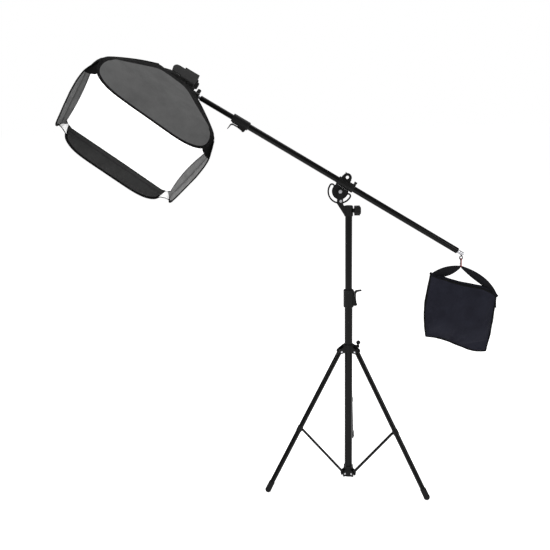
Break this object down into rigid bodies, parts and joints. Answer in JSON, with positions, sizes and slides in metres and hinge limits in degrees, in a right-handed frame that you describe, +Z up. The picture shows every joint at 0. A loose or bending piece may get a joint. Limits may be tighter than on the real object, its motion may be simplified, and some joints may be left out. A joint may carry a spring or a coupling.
{
  "type": "softbox on a boom light stand",
  "caption": "Square pop-up softbox and flash on a boom arm, held by a tripod light stand and balanced by a hanging sandbag.",
  "frame": {"origin": "on the floor, on the column's axis", "axes": "+Z up the column; +X horizontally towards the boom's low end with the counterweight bag; the softbox faces down towards -X and -Y"},
  "size_m": [1.8347, 0.8714, 1.8618],
  "materials": {
    "black_tube": "gloss",
    "black_cast": "satin",
    "black_alloy": "satin black powder coat",
    "steel": "bright",
    "stud_metal": "bright",
    "foot_rubber": "matt",
    "hook_red": "satin",
    "bag_fabric": "woven",
    "webbing": "woven",
    "sand": "loose",
    "panel_grey": "woven",
    "panel_black": "woven",
    "diffuser_white": "translucent",
    "flash_plastic": "satin"
  },
  "bodies": {
    "stand": {"lower_column": "black_tube", "base_hub": "black_cast", "hub_pins": "steel", "column_clamp": "black_cast"},
    "collar": {"leg_collar": "black_cast", "collar_pins": "steel"},
    "collar_lock": {"collar_knob": "black_cast"},
    "column_lever": {"column_lever": "black_cast"},
    "column_upper": {"upper_column": "black_tube"},
    "head": {"head_casting": "black_alloy", "pivot_bolts": "steel"},
    "head_lock": {"head_knob": "black_cast"},
    "tilter": {"tilt_plate": "black_alloy", "boom_sleeve": "black_alloy"},
    "sleeve_lock": {"sleeve_screw": "black_cast"},
    "boom": {"boom_outer": "black_tube", "boom_clamp": "black_cast", "boom_end_stud": "stud_metal", "boom_eye": "black_tube"},
    "boom_lever": {"boom_lever": "black_cast"},
    "boom_extension": {"boom_inner": "black_tube", "boom_stud": "steel"},
    "bag": {"carabiner": "hook_red", "bag_strap": "webbing", "bag_web": "bag_fabric", "pouch_front": "bag_fabric", "pouch_back": "bag_fabric", "sand_fill": "sand"},
    "gate": {"carabiner_gate": "hook_red"},
    "socket": {"bracket_socket": "black_alloy"},
    "socket_lock": {"socket_knob": "black_cast"},
    "bracket": {"bracket_arm": "black_alloy", "flash_head": "flash_plastic"},
    "bracket_lever": {"tilt_handle": "black_cast"},
    "jaw": {"clamp_jaw": "black_alloy"},
    "jaw_knob": {"clamp_knob": "black_cast"},
    "flash": {"flash_body": "flash_plastic", "flash_foot": "flash_plastic"},
    "softbox": {"speed_ring": "black_alloy", "panel_top": "panel_grey", "panel_bottom": "panel_black", "panel_left": "panel_black", "panel_right": "panel_black", "gusset_top_right": "panel_black", "gusset_top_left": "panel_black", "gusset_bottom_left": "panel_black", "gusset_bottom_right": "panel_black", "diffuser": "diffuser_white"},
    "leg_right": {"leg_right": "black_tube", "foot_right": "foot_rubber", "leg_lug_right": "black_cast"},
    "brace_right": {"brace_right": "black_tube"},
    "leg_back": {"leg_back": "black_tube", "foot_back": "foot_rubber", "leg_lug_back": "black_cast"},
    "brace_back": {"brace_back": "black_tube"},
    "leg_left": {"leg_left": "black_tube", "foot_left": "foot_rubber", "leg_lug_left": "black_cast"},
    "brace_left": {"brace_left": "black_tube"}
  },
  "joints": [
    {"name": "collar_slide", "type": "slide", "parent": "stand", "child": "collar", "axis": [0, 0, 1], "range_m": [0, 0.11754]},
    {"name": "leg_right_hinge", "type": "hinge", "parent": "collar", "child": "leg_right", "pos_m": [0.0331, -0.02586, 0.6], "axis": [0.6157, 0.788, 0], "range_deg": [-0.5, 31.59]},
    {"name": "brace_right_hinge", "type": "hinge", "parent": "leg_right", "child": "brace_right", "pos_m": [0.17776, -0.13888, 0.2617], "axis": [0.6157, 0.788, 0], "range_deg": [-70.66, 0.5]},
    {"name": "leg_back_hinge", "type": "hinge", "parent": "collar", "child": "leg_back", "pos_m": [0.00585, 0.04159, 0.6], "axis": [-0.9903, 0.1392, 0], "range_deg": [-0.5, 31.59]},
    {"name": "brace_back_hinge", "type": "hinge", "parent": "leg_back", "child": "brace_back", "pos_m": [0.03139, 0.22338, 0.2617], "axis": [-0.9903, 0.1392, 0], "range_deg": [-70.66, 0.5]},
    {"name": "leg_left_hinge", "type": "hinge", "parent": "collar", "child": "leg_left", "pos_m": [-0.03894, -0.01573, 0.6], "axis": [0.3746, -0.9272, 0], "range_deg": [-0.5, 31.59]},
    {"name": "brace_left_hinge", "type": "hinge", "parent": "leg_left", "child": "brace_left", "pos_m": [-0.20915, -0.0845, 0.2617], "axis": [0.3746, -0.9272, 0], "range_deg": [-70.66, 0.5]},
    {"name": "collar_lock_turn", "type": "hinge", "parent": "collar", "child": "collar_lock", "pos_m": [0.0198, 0.00278, 0.614], "axis": [0.9903, 0.1392, 0], "range_deg": [-120, 15]},
    {"name": "column_slide", "type": "slide", "parent": "stand", "child": "column_upper", "axis": [0, 0, 1], "range_m": [-0.28, 0.09]},
    {"name": "column_lever_flip", "type": "hinge", "parent": "stand", "child": "column_lever", "pos_m": [0.0305, 0, 0.811], "axis": [0, 1, 0], "range_deg": [0, 95]},
    {"name": "head_pan", "type": "hinge", "parent": "column_upper", "child": "head", "pos_m": [0, 0, 1.21], "axis": [0, 0, 1], "continuous": true},
    {"name": "head_knob_turn", "type": "hinge", "parent": "head", "child": "head_lock", "pos_m": [0.03, 0, 1.22], "axis": [1, 0, 0], "continuous": true},
    {"name": "boom_tilt", "type": "hinge", "parent": "head", "child": "tilter", "pos_m": [-0.037, 0, 1.303], "axis": [0, -1, 0], "range_deg": [-12, 50]},
    {"name": "sleeve_screw_turn", "type": "hinge", "parent": "tilter", "child": "sleeve_lock", "pos_m": [0.02603, 0, 1.33122], "axis": [0.5225, 0, 0.8526], "continuous": true},
    {"name": "boom_slide", "type": "slide", "parent": "tilter", "child": "boom", "axis": [0.8526, 0, -0.5225], "range_m": [-0.06, 0.1]},
    {"name": "boom_lever_flip", "type": "hinge", "parent": "boom", "child": "boom_lever", "pos_m": [-0.44052, 0, 1.56318], "axis": [0, -1, 0], "range_deg": [0, 95]},
    {"name": "boom_extend", "type": "slide", "parent": "boom", "child": "boom_extension", "axis": [-0.8526, 0, 0.5225], "range_m": [-0.1, 0.12]},
    {"name": "bag_swing", "type": "hinge", "parent": "boom", "child": "bag", "pos_m": [0.4854, 0, 1.0031], "axis": [0, -1, 0], "range_deg": [-51, 13]},
    {"name": "gate_open", "type": "hinge", "parent": "bag", "child": "gate", "pos_m": [0.4854, 0.009, 0.9769], "axis": [1, 0, 0], "range_deg": [0, 30], "stiffness_Nm_per_rad": 0.02},
    {"name": "bracket_roll", "type": "hinge", "parent": "boom_extension", "child": "socket", "pos_m": [-0.63157, 0, 1.71075], "axis": [0.8526, 0, -0.5225], "continuous": true},
    {"name": "socket_knob_turn", "type": "hinge", "parent": "socket", "child": "socket_lock", "pos_m": [-0.62111, 0.01093, 1.72111], "axis": [0.4151, 0.6074, 0.6773], "continuous": true},
    {"name": "bracket_tilt", "type": "hinge", "parent": "socket", "child": "bracket", "pos_m": [-0.66269, 0, 1.72982], "axis": [0.3174, -0.7944, 0.5179], "range_deg": [-5, 40]},
    {"name": "bracket_lever_turn", "type": "hinge", "parent": "bracket", "child": "bracket_lever", "pos_m": [-0.6684, 0.0143, 1.7205], "axis": [0.3174, -0.7944, 0.5179], "range_deg": [-20, 30]},
    {"name": "jaw_knob_turn", "type": "hinge", "parent": "bracket", "child": "jaw_knob", "pos_m": [-0.80506, -0.00121, 1.8152], "axis": [0.8526, 0, -0.5225], "range_deg": [-720, 0]},
    {"name": "jaw_slide", "type": "slide", "parent": "bracket", "child": "jaw", "axis": [-0.8526, 0, 0.5225], "range_m": [-0.0001, 0.0031]},
    {"name": "flash_tilt", "type": "hinge", "parent": "bracket", "child": "flash", "pos_m": [-0.71176, 0.02551, 1.79902], "axis": [0.3174, -0.7944, 0.5179], "range_deg": [0, 90]},
    {"name": "softbox_turn", "type": "hinge", "parent": "bracket", "child": "softbox", "pos_m": [-0.73833, -0.01336, 1.75567], "axis": [-0.4151, -0.6074, -0.6773], "continuous": true}
  ],
  "couplings": [
    {"joint": "leg_right_hinge", "follows": "collar_slide", "rad_per_m": 4.6167},
    {"joint": "brace_right_hinge", "follows": "collar_slide", "rad_per_m": -10.418},
    {"joint": "leg_back_hinge", "follows": "collar_slide", "rad_per_m": 4.6167},
    {"joint": "brace_back_hinge", "follows": "collar_slide", "rad_per_m": -10.418},
    {"joint": "leg_left_hinge", "follows": "collar_slide", "rad_per_m": 4.6167},
    {"joint": "brace_left_hinge", "follows": "collar_slide", "rad_per_m": -10.418},
    {"joint": "bag_swing", "follows": "boom_tilt", "ratio": -1},
    {"joint": "jaw_slide", "follows": "jaw_knob_turn", "m_per_rad": -0.00023873}
  ]
}
